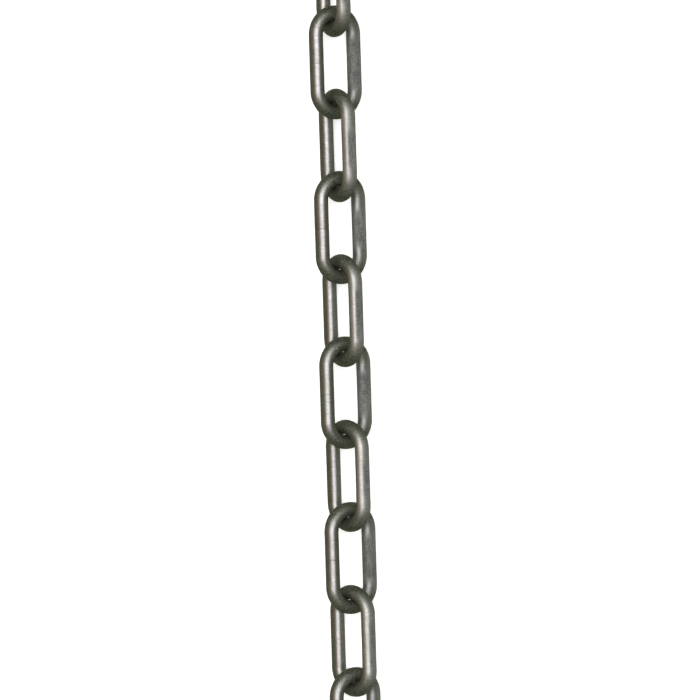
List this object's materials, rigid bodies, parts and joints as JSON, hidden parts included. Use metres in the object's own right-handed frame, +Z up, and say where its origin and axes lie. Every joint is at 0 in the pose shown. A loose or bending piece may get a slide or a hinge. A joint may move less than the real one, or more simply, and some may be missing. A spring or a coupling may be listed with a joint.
{
  "type": "steel chain",
  "caption": "Straight cut of round-wire steel chain: oval welded links pass through each other's eyes and swing where they meet.",
  "frame": {"origin": "on the floor, under the middle of the chain's length and width", "axes": "+X along the chain from link_01 to link_21, +Z up from the floor, +Y across the chain"},
  "size_m": [0.9929, 0.0281, 0.0291],
  "materials": {
    "bare_steel": "bare steel, lightly oiled, semi-matt, dull grey with brown-green tones"
  },
  "bodies": {
    "link_01": {"link_01": "bare_steel"},
    "link_02": {"link_02": "bare_steel"},
    "link_03": {"link_03": "bare_steel"},
    "link_04": {"link_04": "bare_steel"},
    "link_05": {"link_05": "bare_steel"},
    "link_06": {"link_06": "bare_steel"},
    "link_07": {"link_07": "bare_steel"},
    "link_08": {"link_08": "bare_steel"},
    "link_09": {"link_09": "bare_steel"},
    "link_10": {"link_10": "bare_steel"},
    "link_11": {"link_11": "bare_steel"},
    "link_12": {"link_12": "bare_steel"},
    "link_13": {"link_13": "bare_steel"},
    "link_14": {"link_14": "bare_steel"},
    "link_15": {"link_15": "bare_steel"},
    "link_16": {"link_16": "bare_steel"},
    "link_17": {"link_17": "bare_steel"},
    "link_18": {"link_18": "bare_steel"},
    "link_19": {"link_19": "bare_steel"},
    "link_20": {"link_20": "bare_steel"},
    "link_21": {"link_21": "bare_steel"}
  },
  "joints": [
    {"name": "swing_01_02", "type": "hinge", "parent": "link_01", "child": "link_02", "pos_m": [-0.43669, 0, 0.01368], "axis": [0, 0.6079, -0.794], "range_deg": [-120, 120]},
    {"name": "swing_02_03", "type": "hinge", "parent": "link_02", "child": "link_03", "pos_m": [-0.39031, 0, 0.01098], "axis": [0, 0.8192, 0.5736], "range_deg": [-120, 120]},
    {"name": "swing_03_04", "type": "hinge", "parent": "link_03", "child": "link_04", "pos_m": [-0.34363, 0, 0.01288], "axis": [0, -0.6849, 0.7287], "range_deg": [-120, 120]},
    {"name": "swing_04_05", "type": "hinge", "parent": "link_04", "child": "link_05", "pos_m": [-0.29695, 0, 0.01098], "axis": [0, -0.8192, -0.5736], "range_deg": [-120, 120]},
    {"name": "swing_05_06", "type": "hinge", "parent": "link_05", "child": "link_06", "pos_m": [-0.25003, 0, 0.01227], "axis": [0, 0.734, -0.6792], "range_deg": [-120, 120]},
    {"name": "swing_06_07", "type": "hinge", "parent": "link_06", "child": "link_07", "pos_m": [-0.20311, 0, 0.01098], "axis": [0, 0.8192, 0.5736], "range_deg": [-120, 120]},
    {"name": "swing_07_08", "type": "hinge", "parent": "link_07", "child": "link_08", "pos_m": [-0.15617, 0, 0.01219], "axis": [0, -0.74, 0.6726], "range_deg": [-120, 120]},
    {"name": "swing_08_09", "type": "hinge", "parent": "link_08", "child": "link_09", "pos_m": [-0.10923, 0, 0.01098], "axis": [0, -0.8192, -0.5736], "range_deg": [-120, 120]},
    {"name": "swing_09_10", "type": "hinge", "parent": "link_09", "child": "link_10", "pos_m": [-0.06247, 0, 0.01269], "axis": [0, 0.7014, -0.7127], "range_deg": [-120, 120]},
    {"name": "swing_10_11", "type": "hinge", "parent": "link_10", "child": "link_11", "pos_m": [-0.01571, 0, 0.01098], "axis": [0, 0.8192, 0.5736], "range_deg": [-120, 120]},
    {"name": "swing_11_12", "type": "hinge", "parent": "link_11", "child": "link_12", "pos_m": [0.03075, 0, 0.01347], "axis": [0, -0.6293, 0.7771], "range_deg": [-120, 120]},
    {"name": "swing_12_13", "type": "hinge", "parent": "link_12", "child": "link_13", "pos_m": [0.07721, 0, 0.01098], "axis": [0, -0.8192, -0.5736], "range_deg": [-120, 120]},
    {"name": "swing_13_14", "type": "hinge", "parent": "link_13", "child": "link_14", "pos_m": [0.12337, 0, 0.01417], "axis": [0, 0.5513, -0.8343], "range_deg": [-120, 120]},
    {"name": "swing_14_15", "type": "hinge", "parent": "link_14", "child": "link_15", "pos_m": [0.16953, 0, 0.01098], "axis": [0, 0.8192, 0.5736], "range_deg": [-120, 120]},
    {"name": "swing_15_16", "type": "hinge", "parent": "link_15", "child": "link_16", "pos_m": [0.21547, 0, 0.01453], "axis": [0, -0.504, 0.8637], "range_deg": [-120, 120]},
    {"name": "swing_16_17", "type": "hinge", "parent": "link_16", "child": "link_17", "pos_m": [0.26141, 0, 0.01098], "axis": [0, -0.8192, -0.5736], "range_deg": [-120, 120]},
    {"name": "swing_17_18", "type": "hinge", "parent": "link_17", "child": "link_18", "pos_m": [0.30739, 0, 0.01448], "axis": [0, 0.5117, -0.8592], "range_deg": [-120, 120]},
    {"name": "swing_18_19", "type": "hinge", "parent": "link_18", "child": "link_19", "pos_m": [0.35337, 0, 0.01098], "axis": [0, 0.8192, 0.5736], "range_deg": [-120, 120]},
    {"name": "swing_19_20", "type": "hinge", "parent": "link_19", "child": "link_20", "pos_m": [0.39961, 0, 0.01402], "axis": [0, -0.5704, 0.8214], "range_deg": [-120, 120]},
    {"name": "swing_20_21", "type": "hinge", "parent": "link_20", "child": "link_21", "pos_m": [0.44585, 0, 0.01098], "axis": [0, -0.8192, -0.5736], "range_deg": [-120, 120]}
  ]
}
